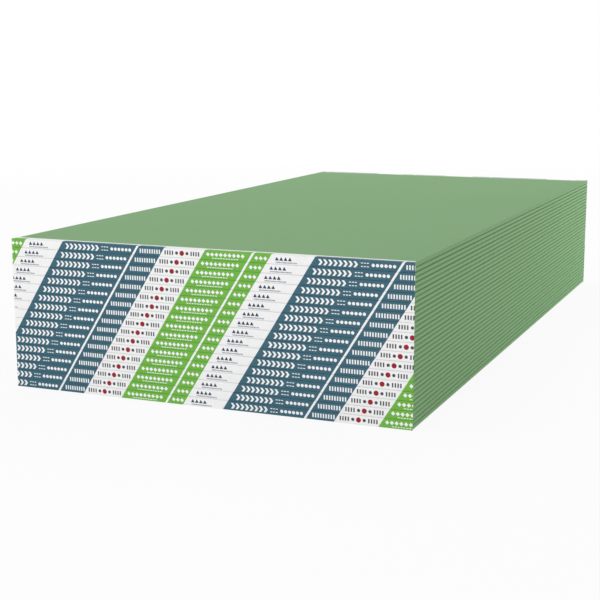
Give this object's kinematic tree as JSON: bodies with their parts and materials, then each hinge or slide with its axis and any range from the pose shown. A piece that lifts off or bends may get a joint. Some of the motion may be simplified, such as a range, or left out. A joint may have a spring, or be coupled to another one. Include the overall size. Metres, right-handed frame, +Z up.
{
  "type": "stack of drywall sheets",
  "caption": "Squared stack of half-inch gypsum sheets with tapered long edges, bound in pairs by printed paper tape folded over both ends.",
  "frame": {"origin": "middle of the stack's underside, on the surface that it lies on", "axes": "+X across the sheets, +Y along them from the near end to the far end, +Z up"},
  "size_m": [1.2192, 2.439, 0.44],
  "materials": {
    "face_paper": "matt green face paper, wrapped round the long edges",
    "tape_paper": "smooth white tape paper with a printed pattern of blue and green"
  },
  "bodies": {
    "root": {"sheet_01": "face_paper", "sheet_02": "face_paper", "end_tape_01": "tape_paper", "sheet_03": "face_paper", "sheet_04": "face_paper", "end_tape_02": "tape_paper", "sheet_05": "face_paper", "sheet_06": "face_paper", "end_tape_03": "tape_paper", "sheet_07": "face_paper", "sheet_08": "face_paper", "end_tape_04": "tape_paper", "sheet_09": "face_paper", "sheet_10": "face_paper", "end_tape_05": "tape_paper", "sheet_11": "face_paper", "sheet_12": "face_paper", "end_tape_06": "tape_paper", "sheet_13": "face_paper", "sheet_14": "face_paper", "end_tape_07": "tape_paper", "sheet_15": "face_paper", "sheet_16": "face_paper", "end_tape_08": "tape_paper", "sheet_17": "face_paper", "sheet_18": "face_paper", "end_tape_09": "tape_paper", "sheet_19": "face_paper", "sheet_20": "face_paper", "end_tape_10": "tape_paper", "sheet_21": "face_paper", "sheet_22": "face_paper", "end_tape_11": "tape_paper", "sheet_23": "face_paper", "sheet_24": "face_paper", "end_tape_12": "tape_paper", "sheet_25": "face_paper", "sheet_26": "face_paper", "end_tape_13": "tape_paper", "sheet_27": "face_paper", "sheet_28": "face_paper", "end_tape_14": "tape_paper", "sheet_29": "face_paper", "sheet_30": "face_paper", "end_tape_15": "tape_paper", "sheet_31": "face_paper", "sheet_32": "face_paper", "end_tape_16": "tape_paper", "sheet_33": "face_paper", "sheet_34": "face_paper", "end_tape_17": "tape_paper", "far_end_tapes": "tape_paper"}
  },
  "joints": []
}
